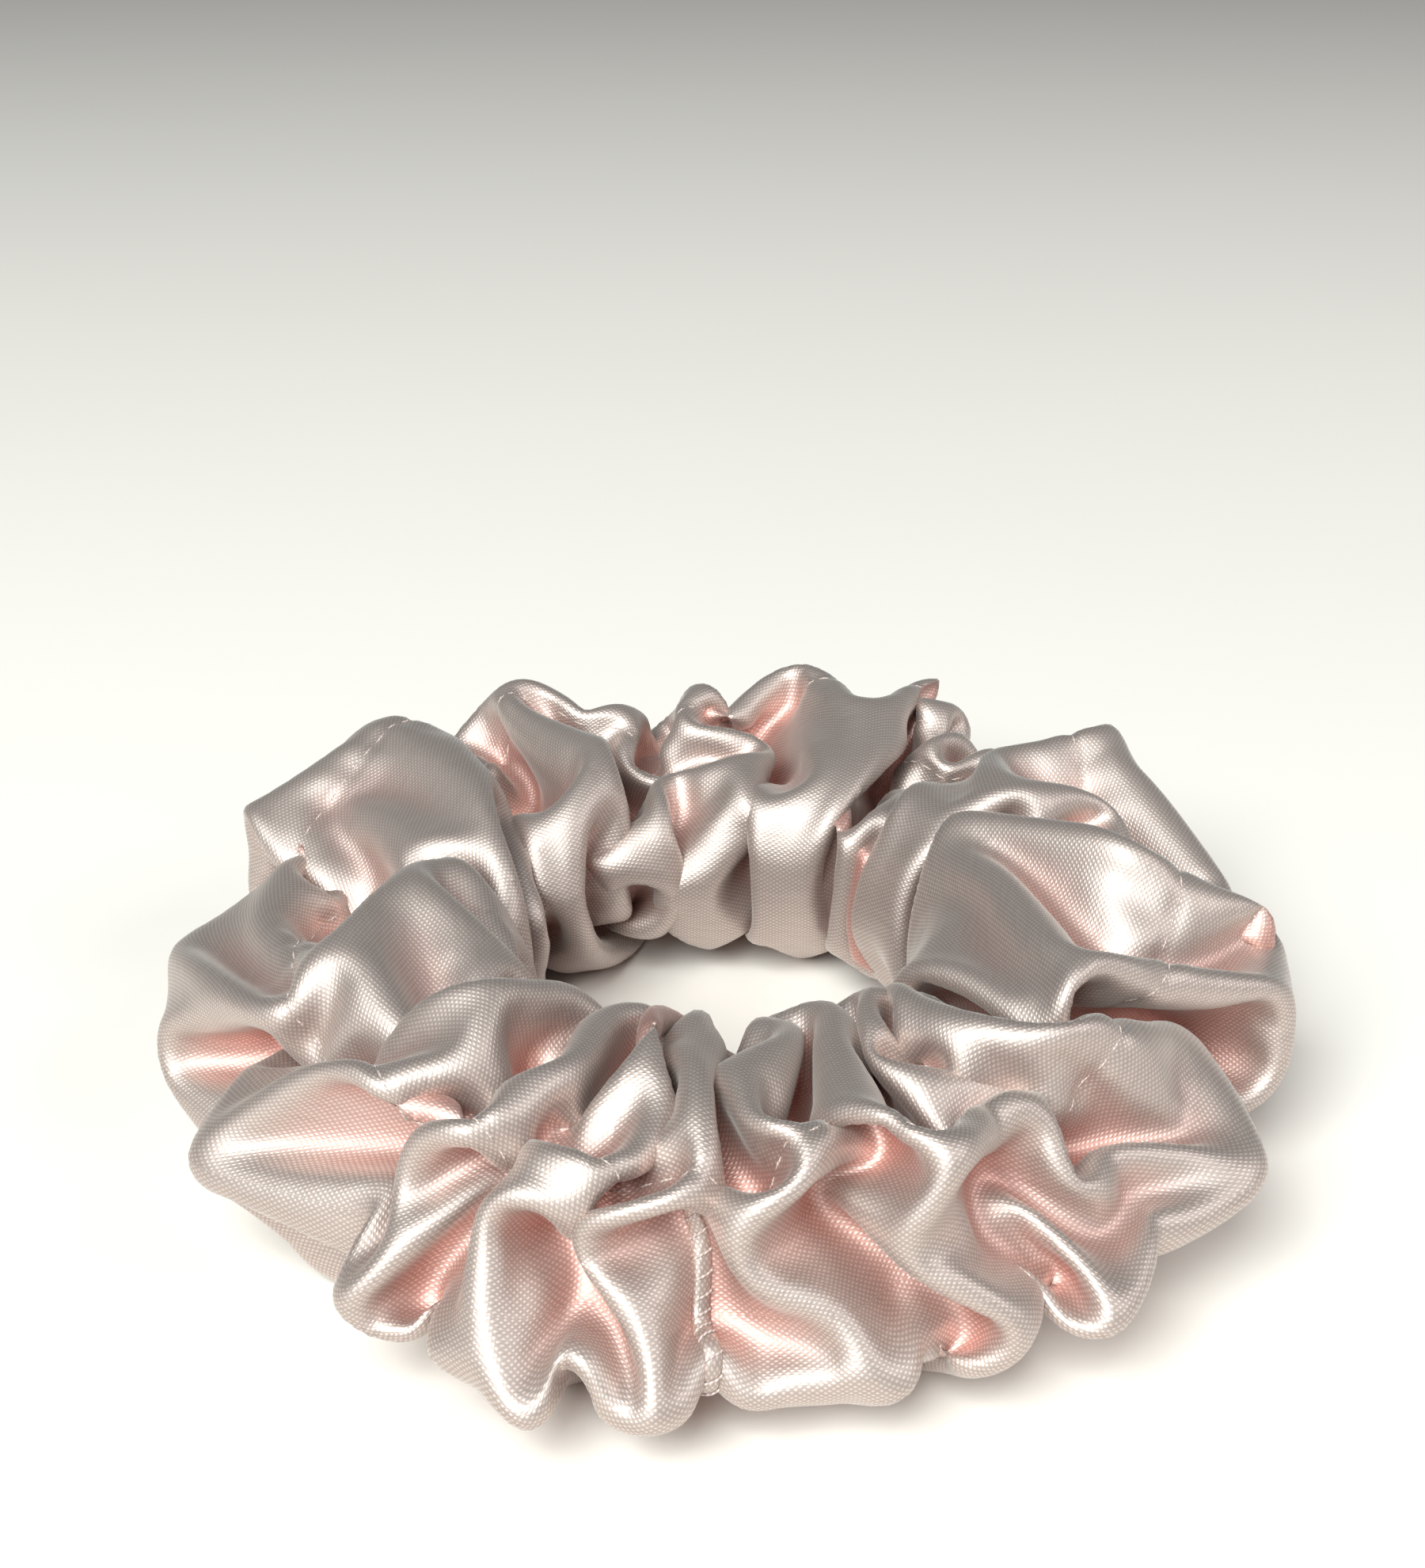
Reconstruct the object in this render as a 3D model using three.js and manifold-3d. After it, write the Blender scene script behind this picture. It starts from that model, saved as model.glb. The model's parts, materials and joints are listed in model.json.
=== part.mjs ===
// Hair scrunchie: a satin tube gathered on a ring of flat elastic, lying flat.
// Units are millimetres and +Z is up. The origin is the centre of the ring on the surface it rests on.
//
// The cover, the elastic and the lengthwise seam run all the way round. Each is divided at the valleys
// between the gathers, so that the ring can open as the elastic stretches. The two ends of the tube
// and of the elastic meet at the closing join, between gathers CLOSING_BEFORE and CLOSING_AFTER.

import * as THREE from 'three';
import { mergeVertices } from 'three/addons/utils/BufferGeometryUtils.js';
import Module from 'manifold-3d';

const wasm = await Module();
wasm.setup();

// ---- Driving dimensions ----

const GATHER_COUNT = 16;
const FIRST_GATHER_DEG = 77.5;
const CLOSING_BEFORE = 9;
const CLOSING_AFTER = 10;

const RING_RADIUS = 35.5; // to the middle of the gathered tube
const TUBE_HALF_WIDTH = 17; // measured from the ring's centre outwards
const TUBE_HALF_HEIGHT = 14.5;
const PUFF_HALF_LENGTH = 14; // of one gather's ellipsoid, along the ring
const TUBE_CENTRE_Z = 13.8; // a little under the half height, so each gather stands on a flat

const GAP = 0.3; // between pieces that touch

const ELASTIC_RADIUS = 24.5;
const ELASTIC_WIDTH = 6;
const ELASTIC_THICKNESS = 1;
const LAP_LENGTH = 12; // of the overlap where the elastic's ends are sewn

const THREAD_RADIUS = 0.25;
const SEAM_ANGLE_DEG = 62; // round the tube, from its outer side towards its top
const TACK_POINTS = 7;

const HEM_HALF_THICKNESS = 0.6;
const HEM_HALF_WIDTH = 2.2; // along the ring
const HEM_PROUD = 0.5; // past the valley it closes, measured level
const HEM_SUNK = 0.8; // short of that valley, measured upright, so that it stays off the surface below

const ROUND_SEGMENTS = 16;
const PUFF_STEPS = 8;
const THREAD_SIDES = 6;
const HEM_SIDES = 8;
const SEAM_STEPS = 4;

// ---- Derived dimensions ----

const STEP = (2 * Math.PI) / GATHER_COUNT;
const HALF_STEP = STEP / 2;
const CHANNEL_INNER = ELASTIC_RADIUS - 1.5 * ELASTIC_THICKNESS - 4 * GAP - 2 * THREAD_RADIUS;
const CHANNEL_OUTER = ELASTIC_RADIUS + ELASTIC_THICKNESS / 2 + 2 * GAP;
const CHANNEL_HALF_HEIGHT = ELASTIC_WIDTH / 2 + 4 * GAP;
const GROOVE_RADIUS = THREAD_RADIUS + GAP;
const VALLEY = RING_RADIUS * Math.tan(HALF_STEP); // from a gather's middle to its valley
const VALLEY_SCALE = Math.sqrt(1 - (VALLEY / PUFF_HALF_LENGTH) ** 2);

// ---- Materials ----

function satin() {
  return new THREE.MeshStandardMaterial({ color: 0xd8b9b1, roughness: 0.36, metalness: 0 });
}

function braidedElastic() {
  return new THREE.MeshStandardMaterial({ color: 0x222022, roughness: 0.85, metalness: 0 });
}

function sewingThread() {
  return new THREE.MeshStandardMaterial({ color: 0xcb9b94, roughness: 0.55, metalness: 0 });
}

// ---- Solids and geometries ----

function toSolid(geometry) {
  const bare = geometry.clone();
  bare.deleteAttribute('normal');
  bare.deleteAttribute('uv');
  const merged = mergeVertices(bare);
  return new wasm.Manifold(new wasm.Mesh({
    numProp: 3,
    vertProperties: merged.attributes.position.array,
    triVerts: new Uint32Array(merged.index.array),
  }));
}

function toGeometry(solid) {
  const mesh = solid.getMesh();
  const geometry = new THREE.BufferGeometry();
  geometry.setAttribute('position', new THREE.BufferAttribute(mesh.vertProperties, 3));
  geometry.setIndex(new THREE.BufferAttribute(mesh.triVerts, 1));
  geometry.computeVertexNormals();
  return geometry;
}

function part(name, geometry, material) {
  const mesh = new THREE.Mesh(geometry, material);
  mesh.name = name;
  return mesh;
}

function numbered(name, number) {
  return `${name}_${String(number).padStart(2, '0')}`;
}

// A rectangle turned round the ring's axis, centred on the height of the tube's middle.
function flatBand(innerRadius, outerRadius, halfHeight, segments) {
  const corners = [
    [innerRadius, -halfHeight],
    [outerRadius, -halfHeight],
    [outerRadius, halfHeight],
    [innerRadius, halfHeight],
    [innerRadius, -halfHeight],
  ];
  const profile = corners.map(([radius, z]) => new THREE.Vector2(radius, z));
  return new THREE.LatheGeometry(profile, segments).rotateX(Math.PI / 2).translate(0, 0, TUBE_CENTRE_Z);
}

// One gather's share of the ring, GAP short of its neighbours' shares. The gather's middle is on +X.
function gatherWedge() {
  const reach = RING_RADIUS + 2 * TUBE_HALF_WIDTH;
  const apex = GAP / 2 / Math.sin(HALF_STEP);
  const halfMouth = (reach - apex) * Math.tan(HALF_STEP);
  const outline = new THREE.Shape();
  outline.moveTo(apex, 0);
  outline.lineTo(reach, -halfMouth);
  outline.lineTo(reach, halfMouth);
  outline.closePath();
  const geometry = new THREE.ExtrudeGeometry(outline, {
    depth: 2 * TUBE_CENTRE_Z + 2 * TUBE_HALF_HEIGHT,
    bevelEnabled: false,
  });
  return toSolid(geometry);
}

// A thread or a groove: a round section swept along a smooth line through the given points.
function threadAlong(points, radius, steps) {
  const section = new THREE.Shape();
  for (let side = 0; side < THREAD_SIDES; side += 1) {
    const angle = (side / THREAD_SIDES) * 2 * Math.PI;
    const corner = [radius * Math.cos(angle), radius * Math.sin(angle)];
    if (side === 0) section.moveTo(...corner);
    else section.lineTo(...corner);
  }
  section.closePath();
  const path = new THREE.CatmullRomCurve3(points);
  return new THREE.ExtrudeGeometry(section, { steps, bevelEnabled: false, extrudePath: path });
}

// ---- The cover ----

// Where the lengthwise seam lies on a puffed gather, at a distance along the ring from its middle.
function seamPoint(along) {
  const shrink = Math.sqrt(1 - (along / PUFF_HALF_LENGTH) ** 2);
  const angle = THREE.MathUtils.degToRad(SEAM_ANGLE_DEG);
  return new THREE.Vector3(
    RING_RADIUS + TUBE_HALF_WIDTH * Math.cos(angle) * shrink,
    along,
    TUBE_CENTRE_Z + TUBE_HALF_HEIGHT * Math.sin(angle) * shrink,
  );
}

function seamLine(halfLength) {
  const points = [];
  for (const share of [-1, -0.67, -0.33, 0, 0.33, 0.67, 1]) points.push(seamPoint(share * halfLength));
  return points;
}

// A ring round the tube's section in the valley at the closing join, which is turned to +X.
// The section's half sizes grow by lift, and the ring's own half sizes are thick and wide.
function valleyRing(lift, thick, wide, sides) {
  const halfWidth = TUBE_HALF_WIDTH * VALLEY_SCALE + HEM_PROUD + lift;
  const halfHeight = TUBE_HALF_HEIGHT * VALLEY_SCALE - HEM_SUNK + lift;
  const profile = [];
  for (let side = 0; side <= sides; side += 1) {
    const angle = (side / sides) * 2 * Math.PI;
    profile.push(new THREE.Vector2(1 + (thick / halfWidth) * Math.cos(angle), wide * Math.sin(angle)));
  }
  return new THREE.LatheGeometry(profile, ROUND_SEGMENTS)
    .scale(halfWidth, 1, halfHeight)
    .translate(RING_RADIUS, 0, TUBE_CENTRE_Z);
}

function hemRing(clearance) {
  return valleyRing(0, HEM_HALF_THICKNESS + clearance, HEM_HALF_WIDTH + clearance, HEM_SIDES);
}

function stitchRing(clearance) {
  const lift = HEM_HALF_THICKNESS + GAP + THREAD_RADIUS;
  return valleyRing(lift, THREAD_RADIUS + clearance, THREAD_RADIUS + clearance, THREAD_SIDES);
}

// The plain puffed gather, before its elastic channel and seam groove are cut.
function puff() {
  const ellipsoid = new THREE.SphereGeometry(1, ROUND_SEGMENTS, PUFF_STEPS)
    .scale(TUBE_HALF_WIDTH, PUFF_HALF_LENGTH, TUBE_HALF_HEIGHT)
    .translate(RING_RADIUS, 0, TUBE_CENTRE_Z);
  return toSolid(ellipsoid);
}

function gatherCover(wedge, isBesideJoin, joinSide) {
  const channel = flatBand(CHANNEL_INNER, CHANNEL_OUTER, CHANNEL_HALF_HEIGHT, 2 * GATHER_COUNT);
  const groove = threadAlong(seamLine(VALLEY + 4 * GAP), GROOVE_RADIUS, SEAM_STEPS);
  let cover = puff().intersect(wedge).subtract(toSolid(channel)).subtract(toSolid(groove));
  if (isBesideJoin) {
    for (const ring of [hemRing(GAP), stitchRing(GAP)]) {
      cover = cover.subtract(toSolid(ring.rotateZ(joinSide * HALF_STEP)));
    }
  }
  return toGeometry(cover);
}

// ---- The elastic ----

function elasticBand(wedge) {
  const ring = flatBand(
    ELASTIC_RADIUS - ELASTIC_THICKNESS / 2,
    ELASTIC_RADIUS + ELASTIC_THICKNESS / 2,
    ELASTIC_WIDTH / 2,
    3 * GATHER_COUNT,
  );
  return toGeometry(toSolid(ring).intersect(wedge));
}

// The second layer where the elastic's two ends overlap, inside the first and centred on +X.
function elasticLap() {
  const outer = ELASTIC_RADIUS - ELASTIC_THICKNESS / 2 - GAP;
  const halfSweep = LAP_LENGTH / 2 / outer;
  const outline = new THREE.Shape();
  outline.absarc(0, 0, outer, -halfSweep, halfSweep, false);
  outline.absarc(0, 0, outer - ELASTIC_THICKNESS, halfSweep, -halfSweep, true);
  outline.closePath();
  return new THREE.ExtrudeGeometry(outline, {
    depth: ELASTIC_WIDTH,
    bevelEnabled: false,
    curveSegments: 6,
  }).translate(0, 0, TUBE_CENTRE_Z - ELASTIC_WIDTH / 2);
}

// The zigzag of thread that holds the lap, on its inner face.
function elasticTack() {
  const radius = ELASTIC_RADIUS - 1.5 * ELASTIC_THICKNESS - 2 * GAP - THREAD_RADIUS;
  const halfSweep = (0.35 * LAP_LENGTH) / radius;
  const points = [];
  for (let i = 0; i < TACK_POINTS; i += 1) {
    const angle = THREE.MathUtils.lerp(-halfSweep, halfSweep, i / (TACK_POINTS - 1));
    const rise = (i % 2 ? 1 : -1) * ELASTIC_WIDTH * 0.3;
    points.push(new THREE.Vector3(radius * Math.cos(angle), radius * Math.sin(angle), TUBE_CENTRE_Z + rise));
  }
  return threadAlong(points, THREAD_RADIUS, 5 * (TACK_POINTS - 1));
}

// ---- The closing join ----

// The turned-in edge of one tube end, closed over the other end, as a low ring round the tube.
function closingHem() {
  return toGeometry(toSolid(hemRing(0)));
}

// The row of slip stitches that closes the hem, standing just over it.
function closingStitch() {
  return toGeometry(toSolid(stitchRing(0)));
}

// ---- Assembly ----

function gather(number, wedge) {
  const joinSide = number === CLOSING_BEFORE ? 1 : -1;
  const isBesideJoin = number === CLOSING_BEFORE || number === CLOSING_AFTER;
  const group = new THREE.Group();
  group.rotation.z = THREE.MathUtils.degToRad(FIRST_GATHER_DEG) + (number - 1) * STEP;
  const seam = threadAlong(seamLine(VALLEY - 2 * GAP), THREAD_RADIUS, SEAM_STEPS);
  group.add(part(numbered('cover_gather', number), gatherCover(wedge, isBesideJoin, joinSide), satin()));
  group.add(part(numbered('elastic_band', number), elasticBand(wedge), braidedElastic()));
  group.add(part(numbered('seam_thread', number), seam, sewingThread()));
  return group;
}

function closingJoin() {
  const group = new THREE.Group();
  group.rotation.z = THREE.MathUtils.degToRad(FIRST_GATHER_DEG) + (CLOSING_BEFORE - 0.5) * STEP;
  group.add(part('elastic_lap', elasticLap(), braidedElastic()));
  group.add(part('elastic_tack', elasticTack(), sewingThread()));
  group.add(part('closing_hem', closingHem(), satin()));
  group.add(part('closing_stitch', closingStitch(), sewingThread()));
  return group;
}

const scrunchie = new THREE.Group();
const wedge = gatherWedge();
for (let number = 1; number <= GATHER_COUNT; number += 1) scrunchie.add(gather(number, wedge));
scrunchie.add(closingJoin());

export default scrunchie;
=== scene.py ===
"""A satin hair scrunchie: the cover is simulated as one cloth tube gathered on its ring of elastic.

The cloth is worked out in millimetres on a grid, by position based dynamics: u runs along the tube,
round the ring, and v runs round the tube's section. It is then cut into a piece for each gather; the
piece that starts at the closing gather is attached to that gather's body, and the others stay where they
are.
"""

import json
import math

import bmesh
import bpy
import numpy as np
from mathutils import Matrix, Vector

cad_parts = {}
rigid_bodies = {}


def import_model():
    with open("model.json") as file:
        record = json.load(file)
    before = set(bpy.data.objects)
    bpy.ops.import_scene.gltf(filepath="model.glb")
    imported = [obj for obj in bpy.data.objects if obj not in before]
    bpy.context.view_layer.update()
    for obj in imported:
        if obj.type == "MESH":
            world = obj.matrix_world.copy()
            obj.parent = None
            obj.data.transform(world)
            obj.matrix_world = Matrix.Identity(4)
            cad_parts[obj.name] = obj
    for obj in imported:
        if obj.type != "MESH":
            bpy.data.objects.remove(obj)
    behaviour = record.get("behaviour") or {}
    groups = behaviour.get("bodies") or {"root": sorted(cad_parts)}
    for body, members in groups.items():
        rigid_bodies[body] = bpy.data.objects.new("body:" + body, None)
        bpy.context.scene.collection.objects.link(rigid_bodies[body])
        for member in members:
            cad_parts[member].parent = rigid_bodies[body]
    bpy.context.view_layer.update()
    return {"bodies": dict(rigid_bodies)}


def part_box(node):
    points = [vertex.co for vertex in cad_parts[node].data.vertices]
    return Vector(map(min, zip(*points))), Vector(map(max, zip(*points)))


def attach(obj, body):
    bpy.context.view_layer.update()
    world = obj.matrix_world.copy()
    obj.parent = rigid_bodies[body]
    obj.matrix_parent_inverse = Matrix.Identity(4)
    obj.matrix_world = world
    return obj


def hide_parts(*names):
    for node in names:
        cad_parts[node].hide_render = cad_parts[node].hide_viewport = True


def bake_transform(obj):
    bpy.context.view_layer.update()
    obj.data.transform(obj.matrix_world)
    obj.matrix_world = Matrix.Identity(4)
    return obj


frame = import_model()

# ---- Sizes, in millimetres ----

MM = 0.001
GATHER_COUNT = sum(name.startswith("gather_") for name in frame["bodies"])
GATHER_STEP_DEG = 360 / GATHER_COUNT
CLOSING_BODY = "gather_09"

ELASTIC_LOW, ELASTIC_HIGH = (np.array(corner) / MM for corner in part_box("elastic_band_01"))
FIRST_MIDDLE = (ELASTIC_LOW + ELASTIC_HIGH) / 2
FIRST_GATHER_DEG = math.degrees(math.atan2(FIRST_MIDDLE[1], FIRST_MIDDLE[0]))
CLOSING_DEG = FIRST_GATHER_DEG + (8 + 0.5) * GATHER_STEP_DEG

RING_RADIUS = 35.5
HALF_WIDTH = 17.0
HALF_HEIGHT = 14.0
CENTRE_Z = FIRST_MIDDLE[2]
ELASTIC_RADIUS = 24.5
ELASTIC_WIDTH = ELASTIC_HIGH[2] - ELASTIC_LOW[2]
ELASTIC_THICKNESS = 1.0
THREAD_RADIUS = 0.22
SEAM_THREAD_RADIUS = 0.1
SEAM_DEG = 62  # round the tube, from its outer side towards its top
SEAM_DEPTH = 0.35
SEAM_GROOVE_WIDTH = 0.75
PUCKER_PITCH = 4.6
PUCKER_HEIGHT = 0.13
PUCKER_WIDTH = 3.0
STITCH_PITCH = 2.3
STITCH_LENGTH = 1.5
HEM_HALF_THICKNESS = 0.4
HEM_HALF_WIDTH = 0.75
HEM_LIFT = 0.25  # of its middle, above the cover's cloth
HEM_STITCH_LIFT = 0.08  # above the hem
HEM_STITCH_REACH = 1.35  # radians, each way round the hem from its crest
HEM_STITCH_SLANT = 0.35  # millimetres along the hem for each radian
LAP_GAP = 0.3  # between the band's two ends
TACK_SHARE = 0.7  # of the lap's length that the tack covers
RIB_PITCH = 0.75

# ---- The cloth ----

TUBE_LENGTH = 470.0  # round the ring, before gathering
TUBE_GIRTH = 106.0  # round the tube
GRID_U = 320
GRID_V = 64
STEP_U = TUBE_LENGTH / GRID_U
STEP_V = TUBE_GIRTH / GRID_V
SEED = 4
STEPS = 450
PASSES = 2  # of every constraint, in each step
CONTACT_EVERY = 8  # steps between searches for layers that may touch
NEIGHBOUR_SPAN = 2.9  # grid steps along the cloth within which points aren't two layers
CLOTH_THICKNESS = 1.0  # a cloth point keeps this far from the rest of the cloth
SHEAR_STIFFNESS = 0.3
BEND_STIFFNESS = 0.3
PRESSURE = 0.0005  # millimetres a step, outwards
GRAVITY = 0.0015
DAMPING = 0.96
FRICTION = 0.2
TOP_SPEED = 0.4
START_UNEVENNESS = 0.05  # millimetres
PLEATS_AT_HOLE = 51
PLEAT_HEIGHT = 1.6
CREASE_UPRIGHT = 0.15  # quarter turns from the tube's outside in which a crease keeps its ring angle

# The creases between the puffs, in degrees round the ring, each at the ring's outside, top and inside.
# Then what follows each crease: how full that puff is of cloth, and how far it reaches out and up.
CREASES = np.array([
    (-13, -48, -51, 1.0, 1.01, 1.04),
    (2, 8, 27, 1.0, 1.04, 1.10),
    (44, 45, 34, 0.9, 1.00, 1.00),
    (50, 51, 44, 0.9, 1.00, 1.00),
    (57, 60, 52, 1.0, 1.04, 1.00),
    (62, 68, 66, 1.2, 1.10, 1.08),
    (92, 86, 76, 1.1, 1.02, 1.02),
    (100, 99, 98, 1.0, 0.98, 0.98),
    (110, 108, 119, 1.1, 1.10, 1.08),
    (134, 126, 150, 1.0, 1.08, 1.06),
    (158, 169, 213, 0.8, 1.05, 1.04),
    (203, 234, 242, 1.2, 1.04, 1.02),
    (237, 243, 247, 1.0, 1.02, 1.03),
    (243, 256, 257, 1.3, 1.20, 1.00),
    (256, 261, 261, 1.3, 1.20, 1.00),
    (268, 267, 265, 0.9, 1.03, 1.01),
    (288, 279, 280, 1.1, 1.06, 1.02),
    (302, 296, 299, 1.1, 1.12, 1.02),
    (311, 303, 303, 1.0, 1.12, 1.02),
], float)
CLOSING_CREASE = 15

# Corners where a fold is pinched out to a point. Each has its puff, how far across that puff it is, its
# section angle in degrees, and where it comes to: ring angle in degrees, radius and height.
TIPS = (
    (0, 0.85, 20, -4, 50.5, 18.5),
    (0, 0.80, 85, -3, 37.0, 29.0),
    (0, 0.82, 140, 24, 24.5, 25.5),
    (1, 0.25, 30, 12, 49.0, 18.0),
    (1, 0.72, 42, 36, 54.0, 27.5),
    (4, 0.50, 40, 57, 50.0, 22.5),
    (5, 0.12, 50, 61.5, 52.5, 26.5),
    (5, 0.72, 50, 80, 47.0, 25.5),
    (8, 0.25, 52, 117, 48.0, 26.0),
    (9, 0.30, 50, 139, 48.5, 26.0),
    (9, 0.70, 35, 157, 52.5, 21.0),
    (10, 0.30, 5, 175, 53.5, 14.0),
    (11, 0.35, 0, 212, 54.0, 12.0),
    (12, 0.40, -5, 236, 54.5, 10.0),
    (13, 0.20, -20, 246, 54.0, 8.0),
    (13, 0.75, -25, 255, 59.5, 6.0),
    (14, 0.65, -25, 265, 55.5, 6.0),
    (15, 0.10, -28, 271, 51.0, 6.0),
    (15, 0.85, -25, 285, 54.5, 6.5),
    (16, 0.65, 45, 292, 49.0, 24.5),
    (17, 0.50, -20, 303, 57.0, 8.0),
    (18, 0.40, 0, 325, 56.5, 13.0),
)
# Places where a valley is drawn in, given in the same way.
HOLLOWS = (
    (0, 0.00, 30, -22, 42.0, 18.0),
    (10, 0.60, 50, 203, 43.0, 21.0),
    (11, 0.60, 35, 223.5, 43.5, 20.0),
    (12, 0.00, 20, 235, 42.5, 16.0),
    (13, 0.00, 30, 247, 42.5, 18.0),
    (14, 0.00, 15, 255, 44.0, 15.0),
    (15, 0.00, 30, 267, 43.0, 18.0),
    (16, 0.00, 25, 282, 42.0, 17.0),
    (17, 0.00, 28, 300, 41.5, 17.0),
)
TIP_PULL = 0.25  # share of the way to its place that a tip or hollow moves in each step
TIP_SIZE = 2.0  # millimetres of cloth, from a tip's point, that go with it
LEAST_TIP_SHARE = 0.05  # cloth with a smaller share of a tip's pull is left alone
ENVELOPE_SLACK = 1.04  # the puffs may reach this much past their size before they are drawn back
ENVELOPE_PULL = 0.15
GUIDE_START = 0.12  # how firmly the creases are led to their places, at first and at the end
GUIDE_END = 0.08
GUIDE_UNTIL = 0.8  # share of the steps by which the guide has eased to its end value
CREASE_DEPTH = 0.5  # share of the section's size that a crease goes in
FOLD_DEPTH_OUTSIDE = 9.0  # of the first folds, at the tube's outside
FOLD_DEPTH_MORE = 3.0  # deeper at the top, shallower at the hole
STEEPEST_FOLD = 1.45  # radians
HOLE_RADIUS = 17.8  # the cloth at the hole stays between this and the elastic
HOLE_ROWS = 1  # grid rows each side of the hole's middle that are caught by the elastic
HOLE_HALF_HEIGHT = 3.2  # how far those rows may move up or down
ELASTIC_CLEARANCE = 1.2  # from the middle of the elastic to the cloth inside it


def unit(vectors):
    """The same directions with length 1."""
    return vectors / (np.linalg.norm(vectors, axis=-1, keepdims=True) + 1e-9)


def normals_of(grid):
    """The outward normals of a grid of points on the cloth."""
    along = np.roll(grid, -1, 0) - np.roll(grid, 1, 0)
    around = np.roll(grid, -1, 1) - np.roll(grid, 1, 1)
    return unit(np.cross(along, around))


def eased(t):
    """Goes from 0 to 1 with a gentle start and finish."""
    t = np.clip(t, 0, 1)
    return t * t * (3 - 2 * t)


def crease_angles(section_angle):
    """Every crease's ring angle in degrees, at a section angle: 0 is outside, pi/2 the top, pi the hole."""
    turn = np.abs((section_angle + np.pi) % (2 * np.pi) - np.pi) / (np.pi / 2)
    slanted = 2 - CREASE_UPRIGHT
    turn = np.clip(turn - CREASE_UPRIGHT, 0, slanted) / (slanted / 2)
    outside, top, inside = CREASES[:, 0], CREASES[:, 1], CREASES[:, 2]
    turn = np.asarray(turn)[..., None]
    return np.where(turn < 1, outside + (top - outside) * turn, top + (inside - top) * (turn - 1))


def puff_shares():
    """The length of tube gathered into each puff."""
    middle = (CREASES[:, 0] + 2 * CREASES[:, 1]) / 3
    width = np.diff(np.append(middle, middle[0] + 360))
    share = (width + 5) * CREASES[:, 3]
    return middle, width, share * TUBE_LENGTH / share.sum()


def fold_curves():
    """Folds of unit length, from nearly flat to steep: how far along and how high each point is."""
    steepness = np.linspace(0, 2.2, 181)
    along = np.linspace(0, 1, 65)
    slope = steepness[:, None] * np.cos(np.pi * along)
    start = np.zeros((len(steepness), 1))
    reach, height = (
        np.concatenate([start, np.cumsum((part[:, 1:] + part[:, :-1]) / 2, 1)], 1) / (len(along) - 1)
        for part in (np.cos(slope), np.sin(slope))
    )
    return steepness, reach, height


def looked_up(curves, steep, along):
    """Reads a table of curves between its rows (steep) and its columns (along)."""
    row = np.clip(steep.astype(int), 0, len(curves) - 2)
    column = np.clip(along.astype(int), 0, curves.shape[1] - 2)
    down, across = steep - row, along - column
    here = curves[row, column] * (1 - down) + curves[row + 1, column] * down
    beside = curves[row, column + 1] * (1 - down) + curves[row + 1, column + 1] * down
    return here * (1 - across) + beside * across


def gathered_row(section_angle, puff, across, share, pleat, folds):
    """One row of the gathered tube, along the ring at a section angle.

    Each grid column has its puff, how far across the puff it is, and its turn in the fine pleats.
    """
    steepness, reach, height = folds
    samples = reach.shape[1] - 1
    out, up = HALF_WIDTH * math.cos(section_angle), HALF_HEIGHT * math.sin(section_angle)
    size = math.hypot(out, up)
    at_hole = eased(-math.cos(section_angle))
    deepest = FOLD_DEPTH_OUTSIDE + FOLD_DEPTH_MORE * (abs(math.sin(section_angle)) - at_hole)

    starts = crease_angles(section_angle)
    widths = np.diff(np.append(starts, starts[0] + 360))
    chord = np.radians(widths) * (RING_RADIUS + 0.75 * out)
    steep = np.interp(-np.clip(chord / share, 0, 1), -reach[:, -1], steepness)
    steep = np.minimum(steep, STEEPEST_FOLD)[puff] / steepness[1]

    along = across * samples
    middle, end = np.full(len(puff), samples / 2), np.full(len(puff), samples)
    full_height = looked_up(height, steep, middle) * share[puff]
    lift = looked_up(height, steep, along) * share[puff]
    depth = (full_height - lift) * np.minimum(1, deepest / np.maximum(full_height, 1e-6))
    turn = np.radians(starts[puff] + widths[puff] * looked_up(reach, steep, along)
                      / looked_up(reach, steep, end))

    reach_out = CREASES[puff, 4] if out > 0 else 1
    from_middle = size - depth - at_hole * (1 + PLEAT_HEIGHT * np.cos(pleat))
    radius = RING_RADIUS + out / size * from_middle * reach_out
    z = CENTRE_Z + up / size * from_middle * CREASES[puff, 5]
    return np.stack([radius * np.cos(turn), radius * np.sin(turn), z], -1)


def gathered_start(random):
    """The tube as first gathered: one fold for each puff, and fine pleats started at the hole."""
    share = puff_shares()[2]
    ends = np.concatenate([[0], np.cumsum(share)])
    u = np.arange(GRID_U) * STEP_U
    puff = np.clip(np.searchsorted(ends, u, side="right") - 1, 0, len(share) - 1)
    across = (u - ends[puff]) / share[puff]
    pleat = np.cumsum(random.uniform(0.75, 1.25, GRID_U))
    pleat *= 2 * np.pi * PLEATS_AT_HOLE / pleat[-1]
    folds = fold_curves()
    angles = 2 * np.pi * np.arange(GRID_V) / GRID_V
    rows = [gathered_row(angle, puff, across, share, pleat, folds) for angle in angles]
    return np.stack(rows, 1).reshape(-1, 3)


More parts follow.
